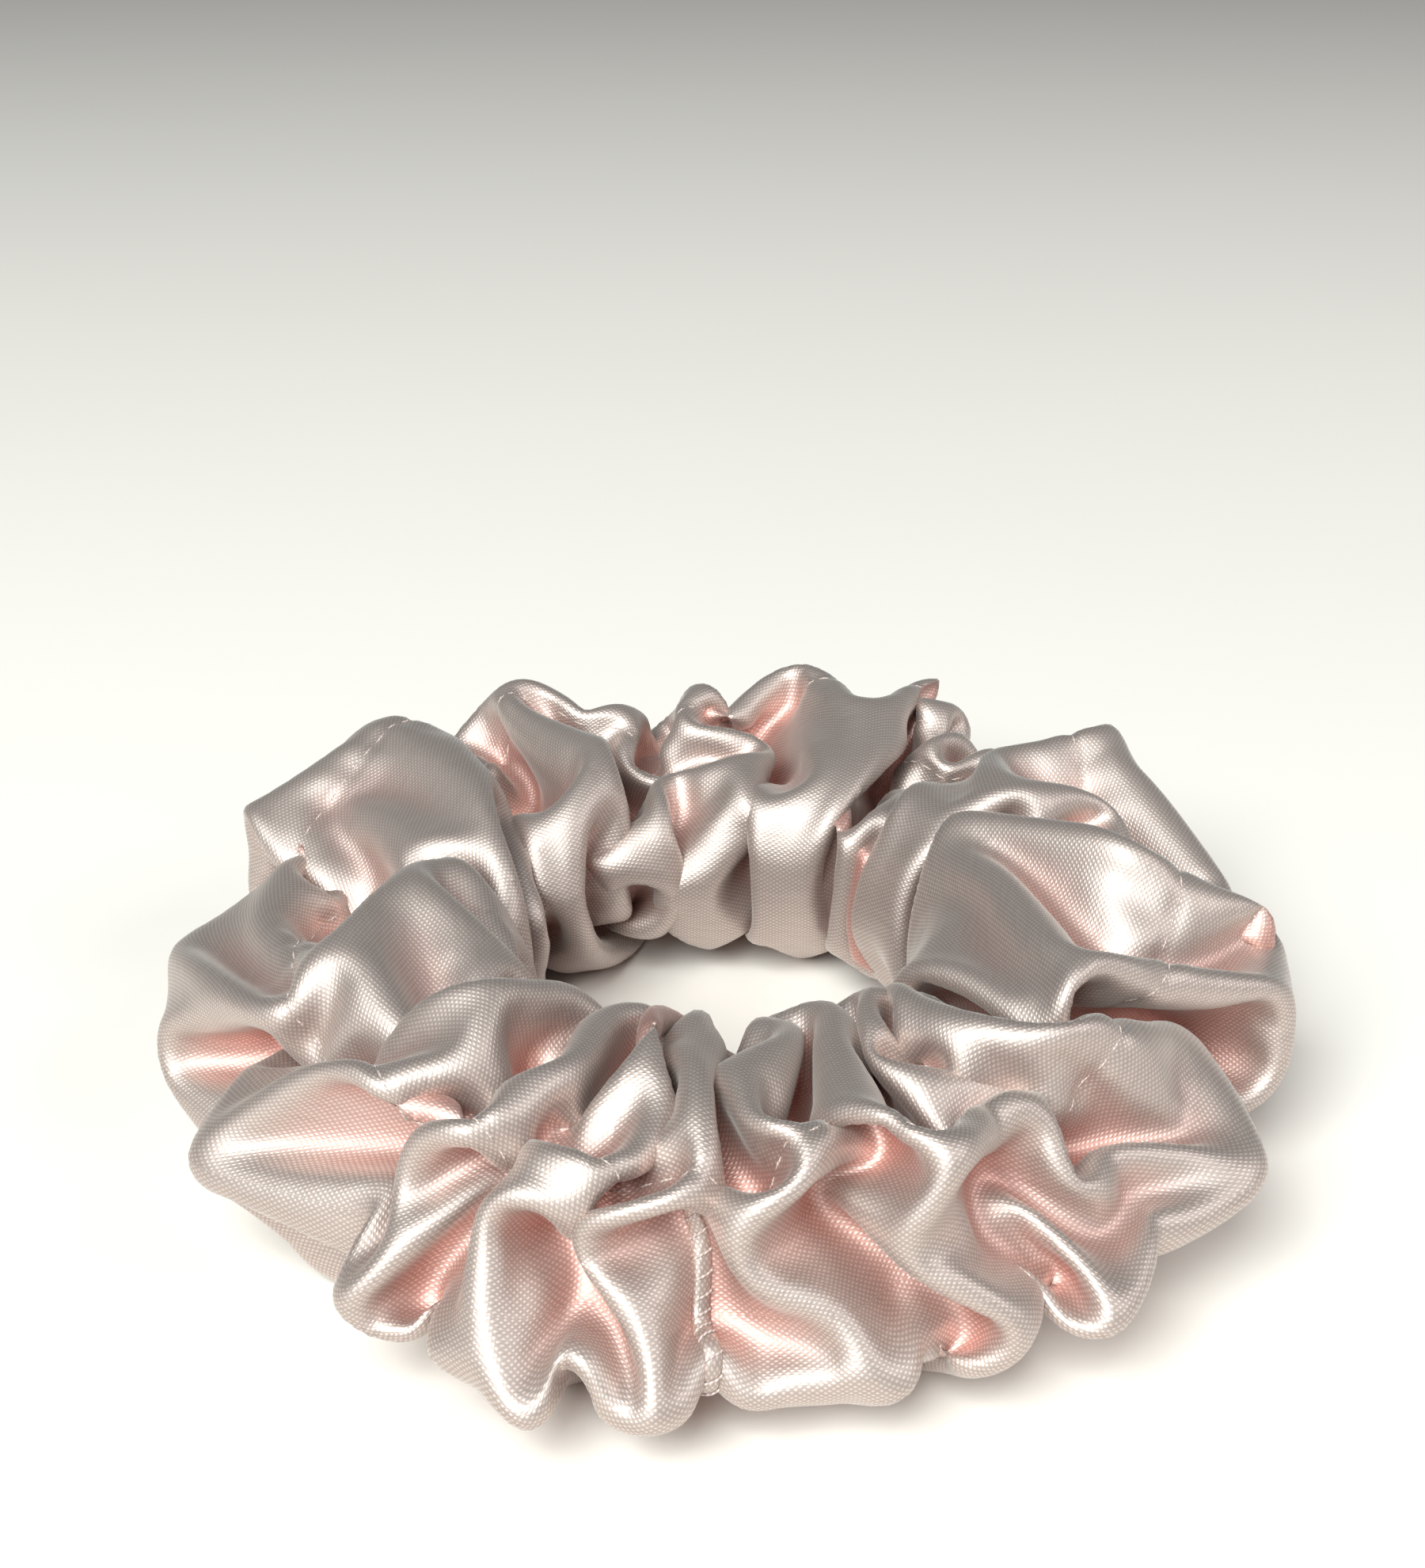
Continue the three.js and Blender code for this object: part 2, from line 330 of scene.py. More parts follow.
def link_batches():
    """Springs between grid points, in batches whose springs share no point."""
    grid = np.arange(GRID_U * GRID_V).reshape(GRID_U, GRID_V)
    batches = []

    def link(du, dv, stiffness, axis, period, groups):
        """Springs from each point to the one du and dv steps on, a batch for each group of lines."""
        other = np.roll(np.roll(grid, -du, 0), -dv, 1)
        rest = math.hypot(du * STEP_U, dv * STEP_V)
        for group in groups:
            chosen = np.isin(np.arange(grid.shape[axis]) % period, group)
            a, b = (m[chosen] if axis == 0 else m[:, chosen] for m in (grid, other))
            batches.append((a.ravel(), b.ravel(), rest, stiffness))

    link(1, 0, 1.0, 0, 2, [[0], [1]])
    link(0, 1, 1.0, 1, 2, [[0], [1]])
    link(1, 1, SHEAR_STIFFNESS, 0, 2, [[0], [1]])
    link(1, -1, SHEAR_STIFFNESS, 0, 2, [[0], [1]])
    link(2, 0, BEND_STIFFNESS, 0, 4, [[0, 1], [2, 3]])
    link(0, 2, BEND_STIFFNESS, 1, 4, [[0, 1], [2, 3]])
    return batches


def project(points, batch):
    """Moves both ends of every spring in a batch towards its rest length."""
    a, b, rest, stiffness = batch
    apart = points[a] - points[b]
    length = np.sqrt(np.einsum("ij,ij->i", apart, apart)) + 1e-9
    move = (0.5 * stiffness * (length - rest) / length)[:, None] * apart
    points[a] -= move
    points[b] += move


def near_pairs(points, reach):
    """Pairs of points nearer than reach, found on a grid of cells."""
    cell = np.floor((points - points.min(0)) / reach).astype(np.int64) + 1
    size = cell.max(0) + 2
    key = (cell[:, 0] * size[1] + cell[:, 1]) * size[2] + cell[:, 2]
    order = np.argsort(key, kind="stable")
    count = np.bincount(key, minlength=int(size.prod()))
    start = np.cumsum(count) - count
    steps = [(x, y, z) for x in (-1, 0, 1) for y in (-1, 0, 1) for z in (-1, 0, 1)]
    found = []
    for step in steps[len(steps) // 2:]:
        beside = key + (step[0] * size[1] + step[1]) * size[2] + step[2]
        number = count[beside]
        a = np.repeat(np.arange(len(points)), number)
        first = np.cumsum(number) - number
        b = order[np.arange(number.sum()) - np.repeat(first, number) + np.repeat(start[beside], number)]
        if step == (0, 0, 0):
            a, b = a[a < b], b[a < b]
        apart = points[a] - points[b]
        close = np.einsum("ij,ij->i", apart, apart) < reach * reach
        found.append((a[close], b[close]))
    return tuple(np.concatenate(side) for side in zip(*found))


def cloth_contacts(points):
    """Pairs that may touch, without grid neighbours, and how far apart each pair stays."""
    a, b = near_pairs(points, 1.5 * CLOTH_THICKNESS)
    du = np.abs(a // GRID_V - b // GRID_V)
    dv = np.abs(a % GRID_V - b % GRID_V)
    du = np.minimum(du, GRID_U - du) * STEP_U
    dv = np.minimum(dv, GRID_V - dv) * STEP_V
    along_cloth = np.hypot(du, dv)
    keep = along_cloth > NEIGHBOUR_SPAN * STEP_U
    return a[keep], b[keep], np.minimum(CLOTH_THICKNESS, 0.9 * along_cloth[keep])


def keep_apart(points, before, contacts):
    """Pushes apart the layers of cloth that have come too near, with friction between them."""
    a, b, least = contacts
    apart = points[a] - points[b]
    square = np.einsum("ij,ij->i", apart, apart)
    hit = square < least * least
    a, b, apart = a[hit], b[hit], apart[hit]
    length = np.sqrt(square[hit]) + 1e-9
    push = (0.5 * (least[hit] - length) / length)[:, None] * apart
    moved_a, moved_b = points[a] - before[a], points[b] - before[b]
    drag = FRICTION * (moved_b - moved_a) / 2
    total = len(points)
    touches = np.bincount(a, minlength=total) + np.bincount(b, minlength=total)
    share = 1 / np.maximum(touches, 1) ** 0.6
    for axis in range(3):
        on_a = np.bincount(a, (push + drag)[:, axis], total)
        on_b = np.bincount(b, -(push + drag)[:, axis], total)
        points[:, axis] += share * (on_a + on_b)


def ring_coordinates(points):
    """Radius and ring angle in degrees."""
    x, y = points[..., 0], points[..., 1]
    return np.hypot(x, y), np.degrees(np.arctan2(y, x))


def guide_creases(points, columns, weight):
    """Draws the grid's crease columns to their ring angles and into the valleys between puffs."""
    grid = points.reshape(GRID_U, GRID_V, 3)
    for crease, column in enumerate(columns):
        line = grid[column]
        radius, turn = ring_coordinates(line)
        section = np.arctan2(line[:, 2] - CENTRE_Z, radius - RING_RADIUS)
        off = (crease_angles(section)[:, crease] - turn + 180) % 360 - 180
        off_hole = np.clip((np.cos(section) + 0.9) / 0.6, 0, 1)
        turn = np.radians(turn + off * weight * off_hole)
        size = np.hypot((radius - RING_RADIUS) / HALF_WIDTH, (line[:, 2] - CENTRE_Z) / HALF_HEIGHT)
        valley = 1 - CREASE_DEPTH
        shrink = 1 - weight * off_hole * np.clip(1 - valley / np.maximum(size, 1e-6), 0, None)
        radius = RING_RADIUS + (radius - RING_RADIUS) * shrink
        line[:, 0] = radius * np.cos(turn)
        line[:, 1] = radius * np.sin(turn)
        line[:, 2] = CENTRE_Z + (line[:, 2] - CENTRE_Z) * shrink


def tip_patches(columns):
    """For each tip: the grid points of its patch of cloth, their shares of its pull, and its place."""
    ends = np.append(columns, columns[0] + GRID_U)
    u, v = np.meshgrid(np.arange(GRID_U), np.arange(GRID_V), indexing="ij")
    patches = []
    for puff, across, section_deg, ring_deg, radius, z in TIPS + HOLLOWS:
        start = ends[puff]
        finish = ends[puff + 1] if ends[puff + 1] > start else ends[puff + 1] + GRID_U
        du = (u - (start + across * (finish - start)) + GRID_U / 2) % GRID_U - GRID_U / 2
        dv = (v - section_deg / 360 * GRID_V + GRID_V / 2) % GRID_V - GRID_V / 2
        share = np.exp(-((du * STEP_U) ** 2 + (dv * STEP_V) ** 2) / (2 * TIP_SIZE**2)).ravel()
        members = np.flatnonzero(share > LEAST_TIP_SHARE)
        turn = math.radians(ring_deg)
        place = np.array([radius * math.cos(turn), radius * math.sin(turn), z])
        patches.append((members, share[members, None], place))
    return patches


def pull_tips(points, patches):
    """Draws every tip's patch of cloth towards the tip's place."""
    for members, share, place in patches:
        middle = (points[members] * share).sum(0) / share.sum()
        points[members] += TIP_PULL * share * (place - middle)


def hold_in_place(points, at_hole, reach_out, reach_up):
    """The puffs' greatest size, the floor, and the elastic, which the cloth stays outside of."""
    radius, turn = ring_coordinates(points)
    degree = turn.astype(int) % 360
    out, up = radius - RING_RADIUS, points[:, 2] - CENTRE_Z
    half_width = HALF_WIDTH * np.where(out > 0, reach_out[degree], 1)
    size = np.hypot(out / half_width, up / (HALF_HEIGHT * reach_up[degree])) / ENVELOPE_SLACK
    shrink = 1 - ENVELOPE_PULL * np.clip(1 - 1 / np.maximum(size, 1e-6), 0, None)
    new_radius = RING_RADIUS + out * shrink
    z = np.maximum(CENTRE_Z + up * shrink, 0)
    half_thick, half_high = ELASTIC_THICKNESS / 2 + 1, ELASTIC_WIDTH / 2 + 0.9
    in_band = np.hypot((new_radius - ELASTIC_RADIUS) / half_thick, (z - CENTRE_Z) / half_high)
    grow = 1 / np.clip(in_band, 1e-3, 1)
    new_radius = ELASTIC_RADIUS + (new_radius - ELASTIC_RADIUS) * grow
    z = CENTRE_Z + (z - CENTRE_Z) * grow
    inside_band = np.clip(new_radius, HOLE_RADIUS, ELASTIC_RADIUS - ELASTIC_CLEARANCE)
    new_radius = np.where(at_hole, inside_band, new_radius)
    z = np.where(at_hole, np.clip(z, CENTRE_Z - HOLE_HALF_HEIGHT, CENTRE_Z + HOLE_HALF_HEIGHT), z)
    points[:, :2] *= (new_radius / np.maximum(radius, 1e-6))[:, None]
    points[:, 2] = z


def puff_reaches():
    """How far the puffs reach out and up, at every degree round the ring."""
    middle, width, _ = puff_shares()
    around = np.concatenate([middle + width / 2 + turn for turn in (-360, 0, 360)])
    return [np.interp(np.arange(360.0), around, np.tile(CREASES[:, column], 3)) for column in (4, 5)]


def moved_freely(points, speed):
    """Moves the points by their speed, after the cloth's fullness and gravity have changed it."""
    outwards = normals_of(points.reshape(GRID_U, GRID_V, 3)).reshape(-1, 3)
    speed = speed * DAMPING + PRESSURE * outwards
    speed[:, 2] -= GRAVITY
    fastest = np.linalg.norm(speed, axis=1, keepdims=True)
    return points + speed * np.minimum(1, TOP_SPEED / np.maximum(fastest, 1e-9))


def simulate_cover():
    """Lets the gathered tube settle.

    Gives its points as a grid, in millimetres, and the grid column of the closing join.
    """
    random = np.random.RandomState(SEED)
    points = gathered_start(random)
    points += random.normal(0, START_UNEVENNESS, points.shape)
    share = puff_shares()[2]
    columns = np.round((np.cumsum(share) - share) / STEP_U).astype(int) % GRID_U
    reach_out, reach_up = puff_reaches()
    at_hole = np.zeros((GRID_U, GRID_V), bool)
    at_hole[:, GRID_V // 2 - HOLE_ROWS:GRID_V // 2 + HOLE_ROWS + 1] = True
    at_hole = at_hole.ravel()
    batches = link_batches()
    patches = tip_patches(columns)
    speed = np.zeros_like(points)
    for step in range(STEPS):
        if step % CONTACT_EVERY == 0:
            contacts = cloth_contacts(points)
        before = points
        points = moved_freely(points, speed)
        for _ in range(PASSES):
            for batch in batches:
                project(points, batch)
            keep_apart(points, before, contacts)
        guide = GUIDE_START * max(0, 1 - step / (STEPS * GUIDE_UNTIL)) + GUIDE_END
        guide_creases(points, columns, guide)
        pull_tips(points, patches)
        hold_in_place(points, at_hole, reach_out, reach_up)
        speed = points - before
    return points.reshape(GRID_U, GRID_V, 3), columns[CLOSING_CREASE]


# ---- Meshes ----


def new_object(name, mesh):
    """Adds an object, with a mesh, light or camera as its data, to the scene."""
    piece = bpy.data.objects.new(name, mesh)
    bpy.context.collection.objects.link(piece)
    return piece


def mesh_from(name, points_mm, faces, uv_mm=None, fold=None):
    """A smooth mesh in metres; uv_mm has one (u, v) in millimetres for each corner of each face.

    fold says, for each point, how far inside a fold it lies, from 0 to 1; the satin paints shade and pink
    bounce light there.
    """
    mesh = bpy.data.meshes.new(name)
    mesh.from_pydata((np.asarray(points_mm) * MM).tolist(), [], [list(map(int, f)) for f in faces])
    mesh.polygons.foreach_set("use_smooth", np.ones(len(mesh.polygons), bool))
    if uv_mm is not None:
        layer = mesh.uv_layers.new(name="cloth")
        layer.data.foreach_set("uv", np.asarray(uv_mm, np.float32).ravel())
    if fold is not None:
        values = mesh.attributes.new("fold", "FLOAT", "POINT").data
        values.foreach_set("value", np.asarray(fold, np.float32))
    return mesh


def closed_grid(points, u_size, v_size):
    """Faces and corner (u, v) of a grid that closes on itself both ways."""
    rows, columns = points.shape[:2]
    grid = np.arange(rows * columns).reshape(rows, columns)
    near, far = (np.roll(grid, -1, 0), grid)
    faces = np.stack([far, near, np.roll(near, -1, 1), np.roll(far, -1, 1)], -1).reshape(-1, 4)
    u, v = np.meshgrid(np.arange(rows) * u_size, np.arange(columns) * v_size, indexing="ij")
    corners = np.stack([
        np.stack([u, v], -1),
        np.stack([u + u_size, v], -1),
        np.stack([u + u_size, v + v_size], -1),
        np.stack([u, v + v_size], -1),
    ], 2).reshape(-1, 2)
    return faces, corners


def refined(grid):
    """One round of smooth subdivision, for a grid that closes on itself both ways."""
    for axis in (0, 1):
        after = np.roll(grid, -1, axis)
        even = (np.roll(grid, 1, axis) + 6 * grid + after) / 8
        odd = (grid + after) / 2
        shape = [2 * size if i == axis else size for i, size in enumerate(grid.shape)]
        grid = np.stack([even, odd], axis + 1).reshape(shape)
    return grid


def sweep(path, across, up, section, closed):
    """Sweeps a closed section along a path, which it closes on itself or ends with flat caps.

    The section's points are (across, up) in millimetres. Gives points, faces and corner (u, v).
    """
    points = path[:, None] + across[:, None] * section[:, 0, None] + up[:, None] * section[:, 1, None]
    rows, columns = len(path), len(section)
    spans = rows if closed else rows - 1
    along = np.concatenate([[0], np.cumsum(np.linalg.norm(np.roll(path, -1, 0) - path, axis=1))])
    girth = np.linalg.norm(np.roll(section, -1, 0) - section, axis=1)
    girth = np.concatenate([[0], np.cumsum(girth)])
    faces, corners = [], []
    for i in range(spans):
        after = (i + 1) % rows
        for j in range(columns):
            beside = (j + 1) % columns
            faces.append((i * columns + j, i * columns + beside,
                          after * columns + beside, after * columns + j))
            corners += [(along[i], girth[j]), (along[i], girth[j + 1]),
                        (along[i + 1], girth[j + 1]), (along[i + 1], girth[j])]
    if not closed:
        faces.append(tuple(reversed(range(columns))))
        faces.append(tuple((rows - 1) * columns + j for j in range(columns)))
        corners += [tuple(point) for point in section[::-1]] + [tuple(point) for point in section]
    return points.reshape(-1, 3), faces, corners


def thread(path, radius, sides=6):
    """A short thread along a path, a little thinner at its two ends."""
    along = unit(np.gradient(path, axis=0))
    aside = np.zeros_like(along)
    aside[0] = unit(np.cross(along[0], (0.31, 0.52, 0.79)))
    for i in range(1, len(path)):
        aside[i] = unit(aside[i - 1] - along[i] * np.dot(aside[i - 1], along[i]))
    turn = np.arange(sides) / sides * 2 * np.pi
    section = radius * np.stack([np.cos(turn), np.sin(turn)], -1)
    points, faces, corners = sweep(path, aside, np.cross(along, aside), section, closed=False)
    points = points.reshape(len(path), sides, 3)
    for end in (0, -1):
        points[end] = path[end] + (points[end] - path[end]) * 0.4
    return points.reshape(-1, 3), faces, corners


def joined(parts):
    """Puts several (points, faces, corners) together as one."""
    points, faces, corners, first = [], [], [], 0
    for part_points, part_faces, part_corners in parts:
        points.append(part_points)
        faces += [tuple(first + i for i in face) for face in part_faces]
        corners += list(part_corners)
        first += len(part_points)
    return np.concatenate(points), faces, corners


def gather_angle(index):
    """The middle of a gather, in degrees; gather_01 is index 0."""
    return FIRST_GATHER_DEG + index * GATHER_STEP_DEG


def body_name(index):
    """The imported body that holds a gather; gather_01 is index 0."""
    return f"gather_{index % GATHER_COUNT + 1:02d}"


def mesh_of_faces(name, faces, uv_layer, fold_layer):
    """A mesh of some of a bmesh's faces, with its normals, and its (u, v) area in square millimetres."""
    used = {}
    for face in faces:
        for vertex in face.verts:
            used.setdefault(vertex.index, (len(used), vertex))
    vertices = [vertex for _, vertex in used.values()]
    numbered = [[used[vertex.index][0] for vertex in face.verts] for face in faces]
    corners = [tuple(loop[uv_layer].uv) for face in faces for loop in face.loops]
    fold = fold_layer and [vertex[fold_layer] for vertex in vertices]
    mesh = mesh_from(name, [vertex.co / MM for vertex in vertices], numbered, corners, fold)
    mesh.normals_split_custom_set_from_vertices([vertex.normal[:] for vertex in vertices])
    area = 0.0
    for face in faces:
        flat = [loop[uv_layer].uv for loop in face.loops]
        area += abs(sum(p.x * q.y - q.x * p.y for p, q in zip(flat, flat[1:] + flat[:1]))) / 2
    return mesh, area


def split_at_gathers(whole):
    """Cuts a ring-shaped mesh through the middle of every gather.

    Gives one mesh from each gather's middle to the next one's, with the whole ring's normals kept on
    it, and the share of the cloth's (u, v) area that it holds, in square millimetres.
    """
    cut = bmesh.new()
    cut.from_mesh(whole)
    for index in range(GATHER_COUNT // 2):
        turn = math.radians(gather_angle(index))
        everything = cut.verts[:] + cut.edges[:] + cut.faces[:]
        bmesh.ops.bisect_plane(cut, geom=everything, dist=1e-8, plane_co=(0, 0, 0),
                               plane_no=(-math.sin(turn), math.cos(turn), 0))
    cut.normal_update()
    cut.verts.index_update()
    parts = [[] for _ in range(GATHER_COUNT)]
    for face in cut.faces:
        middle = face.calc_center_median()
        turn = math.degrees(math.atan2(middle.y, middle.x)) - FIRST_GATHER_DEG
        parts[int(turn % 360 // GATHER_STEP_DEG) % GATHER_COUNT].append(face)
    layers = cut.loops.layers.uv.active, cut.verts.layers.float.get("fold")
    made = [mesh_of_faces(whole.name, faces, *layers) for faces in parts]
    cut.free()
    return made


def follow_the_ring(piece, index):
    """Attaches a piece that runs from one gather's middle to the next one's to the closing gather's body
    when it starts there; any other piece keeps its place, with its transform applied to its mesh.
    """
    first, second = body_name(index), body_name(index + 1)
    if first == CLOSING_BODY:
        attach(piece, first)
        return
    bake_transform(piece)


# ---- Materials ----


class Nodes:
    """Short names for building a material's node tree."""

    def __init__(self, name):
        self.material = bpy.data.materials.new(name)
        self.material.use_nodes = True
        self.tree = self.material.node_tree
        self.shader = self.tree.nodes["Principled BSDF"]

    def add(self, kind, **settings):
        """A new node, with some of its settings."""
        node = self.tree.nodes.new(kind)
        for name, value in settings.items():
            setattr(node, name, value)
        return node

    def join(self, source, target):
        """Links a node's output to an input."""
        self.tree.links.new(source, target)

    def math(self, operation, a, b=None, clamp=False):
        """A math node's output, from one or two values, each a number or a node's output."""
        node = self.add("ShaderNodeMath", operation=operation, use_clamp=clamp)
        for socket, value in zip(node.inputs, (a, b)):
            if value is None:
                continue
            if isinstance(value, (int, float)):
                socket.default_value = value
            else:
                self.join(value, socket)
        return node.outputs[0]

    def mix(self, factor, a, b):
        """A colour from a to b, each three numbers or a node's output."""
        node = self.add("ShaderNodeMix", data_type="RGBA")
        self.join(factor, node.inputs[0])
        for socket, value in ((node.inputs[6], a), (node.inputs[7], b)):
            if isinstance(value, tuple):
                socket.default_value = (*value, 1)
            else:
                self.join(value, socket)
        return node.outputs[2]

    def bump(self, height, distance_mm, strength=1.0, below=None):
        """A normal raised by a height, on top of another one below it."""
        node = self.add("ShaderNodeBump")
        node.inputs["Strength"].default_value = strength
        node.inputs["Distance"].default_value = distance_mm * MM
        self.join(height, node.inputs["Height"])
        if below is not None:
            self.join(below, node.inputs["Normal"])
        return node.outputs[0]

    def cloth_uv(self):
        """The cloth's (u, v) in millimetres: as a vector, and its two parts."""
        node = self.add("ShaderNodeUVMap", uv_map="cloth")
        parts = self.add("ShaderNodeSeparateXYZ")
        self.join(node.outputs[0], parts.inputs[0])
        return node.outputs[0], parts.outputs[0], parts.outputs[1]

    def half_wave(self, turns):
        """A cosine of a turn in radians, brought to between 0 and 1."""
        node = self.add("ShaderNodeMath", operation="COSINE")
        self.join(turns, node.inputs[0])
        scaled = self.math("MULTIPLY", node.outputs[0], 0.5)
        return self.math("ADD", scaled, 0.5)


# Painted shade and painted pink bounce light in the hollows of the folds: the depth at which it is full,
# and the smoothing that finds the hollows.
FULL_PAINTED_SHADE_DEPTH = 2.0  # millimetres below the cloth around it at which a hollow has its full colour
HOLLOW_SPREAD = 40  # rounds of smoothing that give the level of the cloth around
WEAVE_PITCH_U = 0.66
WEAVE_PITCH_V = 0.46
CREST_COLOURS = (0.40, 0.31, 0.28), (0.80, 0.69, 0.65)  # between the weave's floats, and on them
# Painted shade and painted pink bounce light: the satin's colour made darker and salmon for the hollows of
# its folds.
PAINTED_SHADE_BOUNCE_COLOURS = (0.50, 0.23, 0.19), (0.84, 0.48, 0.43)
SATIN_ROUGHNESS = 0.57


def weave_floats(n, u, v):
    """The satin's floats: small raised ovals in staggered rows, from 0 to 1."""
    slope = n.math("MULTIPLY", v, 2 * math.pi / WEAVE_PITCH_V)
    lean = n.math("MULTIPLY", u, 2 * math.pi / WEAVE_PITCH_U)
    rising = n.half_wave(n.math("ADD", lean, slope))
    falling = n.half_wave(n.math("SUBTRACT", lean, slope))
    return n.math("MULTIPLY", rising, falling)


def thread_slubs(n, uv):
    """The slight unevenness of the threads: noise drawn out along them."""
    stretch = n.add("ShaderNodeMapping")
    stretch.inputs["Scale"].default_value = (0.25, 2.2, 1)
    n.join(uv, stretch.inputs["Vector"])
    slub = n.add("ShaderNodeTexNoise")
    slub.inputs["Scale"].default_value = 1.0
    slub.inputs["Detail"].default_value = 3.0
    n.join(stretch.outputs[0], slub.inputs["Vector"])
    return slub.outputs[0]


def satin_material():
    """Pale pink polyester satin: silver-grey on the crests of the folds; in their hollows painted shade and
    painted pink bounce light make it darker and salmon.
    """
    n = Nodes("satin")
    uv, u, v = n.cloth_uv()
    floats = weave_floats(n, u, v)
    slub = thread_slubs(n, uv)
    tone = n.math("ADD", n.math("MULTIPLY", floats, 0.75), n.math("MULTIPLY", slub, 0.35))
    # Painted shade and painted bounce light: the fold attribute mixes the crests' colour towards the darker
    # salmon of the hollows.
    fold = n.add("ShaderNodeAttribute", attribute_name="fold").outputs["Fac"]
    crest = n.mix(tone, *CREST_COLOURS)
    hollow = n.mix(tone, *PAINTED_SHADE_BOUNCE_COLOURS)
    n.join(n.mix(fold, crest, hollow), n.shader.inputs["Base Color"])
    rough = n.math("SUBTRACT", SATIN_ROUGHNESS, n.math("MULTIPLY", tone, 0.12))
    n.join(rough, n.shader.inputs["Roughness"])
    threads = n.bump(floats, 0.035, 0.6)
    n.join(n.bump(slub, 0.05, 0.3, threads), n.shader.inputs["Normal"])
    n.shader.inputs["Metallic"].default_value = 0.8
    n.shader.inputs["Specular IOR Level"].default_value = 0.9
    n.shader.inputs["IOR"].default_value = 2.0
    n.shader.inputs["Sheen Weight"].default_value = 0.25
    n.shader.inputs["Sheen Roughness"].default_value = 0.4
    n.shader.inputs["Sheen Tint"].default_value = (0.93, 0.96, 0.93, 1)
    return n.material


def elastic_material():
    """Matte braided elastic, with a chevron on its ribs."""
    n = Nodes("braided_elastic")
    _, u, v = n.cloth_uv()
    rib = n.half_wave(n.math("MULTIPLY", v, 2 * math.pi / 0.8))
    side = n.math("ABSOLUTE", n.math("SUBTRACT", n.math("FRACT", n.math("MULTIPLY", v, 1 / 0.8)), 0.5))
    slanted = n.math("ADD", u, n.math("MULTIPLY", side, 1.1))
    chevron = n.half_wave(n.math("MULTIPLY", slanted, 2 * math.pi / 0.55))
    knit = n.math("MULTIPLY", rib, n.math("ADD", n.math("MULTIPLY", chevron, 0.6), 0.4))
    n.join(n.mix(knit, (0.012, 0.011, 0.012), (0.085, 0.08, 0.085)), n.shader.inputs["Base Color"])
    n.join(n.bump(knit, 0.15, 0.8), n.shader.inputs["Normal"])
    n.shader.inputs["Roughness"].default_value = 0.85
    n.shader.inputs["Sheen Weight"].default_value = 0.2
    return n.material


def thread_material():
    """Pink polyester sewing thread, twisted."""
    n = Nodes("sewing_thread")
    _, u, v = n.cloth_uv()
    twist = n.half_wave(n.math("MULTIPLY", n.math("ADD", u, v), 2 * math.pi / 0.45))
    n.join(n.mix(twist, (0.42, 0.31, 0.28), (0.76, 0.63, 0.59)), n.shader.inputs["Base Color"])
    n.join(n.bump(twist, 0.06, 0.8), n.shader.inputs["Normal"])
    n.shader.inputs["Roughness"].default_value = 0.45
    n.shader.inputs["Sheen Weight"].default_value = 0.3
    return n.material


def floor_material():
    """A pale, matt table top."""
    n = Nodes("pale_floor")
    grain = n.add("ShaderNodeTexNoise")
    grain.inputs["Scale"].default_value = 60
    n.join(n.mix(grain.outputs[0], (0.89, 0.83, 0.79), (0.91, 0.85, 0.81)), n.shader.inputs["Base Color"])
    n.shader.inputs["Roughness"].default_value = 0.9
    return n.material


SATIN = satin_material()
ELASTIC = elastic_material()
THREAD = thread_material()

# ---- The cover ----


def smoothed(values, rounds):
    """Spreads a grid of values over its neighbours, a little more with every round."""
    for _ in range(rounds):
        for axis in (0, 1):
            values = (np.roll(values, -1, axis) + 2 * values + np.roll(values, 1, axis)) / 4
    return values


def painted_shade_bounce_shares(grid):
    """How far inside a fold each point of the cloth is, 0 on the crests and 1 in the deep hollows: the
    share of painted shade and painted bounce light in the satin's colour there.
    """
    inwards = -normals_of(grid)
    depth = ((grid - smoothed(grid, HOLLOW_SPREAD)) * inwards).sum(-1)
    return smoothed(np.clip(depth / FULL_PAINTED_SHADE_DEPTH, 0, 1), 2)


def press_seam(grid, row):
    """The lengthwise seam: a narrow groove along one row of the cloth, slightly puckered beside it."""
    columns, rows = grid.shape[:2]
    across = (np.arange(rows) - row + rows / 2) % rows - rows / 2
    across *= TUBE_GIRTH / rows
    along = np.arange(columns)[:, None] * TUBE_LENGTH / columns
    pucker = PUCKER_HEIGHT * np.sin(2 * np.pi * along / PUCKER_PITCH + 1.5 * np.sin(along / 9))
    groove = SEAM_DEPTH * np.exp(-(across / SEAM_GROOVE_WIDTH) ** 2)
    lift = pucker * np.exp(-(across / PUCKER_WIDTH) ** 2) - groove
    return grid + normals_of(grid) * lift[..., None]


def make_cover(grid):
    """The tube of satin, divided between the gathers."""
    step_u, step_v = TUBE_LENGTH / len(grid), TUBE_GIRTH / grid.shape[1]
    faces, corners = closed_grid(grid, step_u, step_v)
    # The fold attribute carries the painted shade and painted bounce light of the hollows.
    whole = mesh_from("satin_cover", grid.reshape(-1, 3), faces, corners, painted_shade_bounce_shares(grid).ravel())
    for index, (mesh, area) in enumerate(split_at_gathers(whole)):
        mesh.materials.append(SATIN)
        piece = new_object(f"satin_cover_{index + 1:02d}", mesh)
        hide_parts(f"cover_gather_{index + 1:02d}")
        follow_the_ring(piece, index)


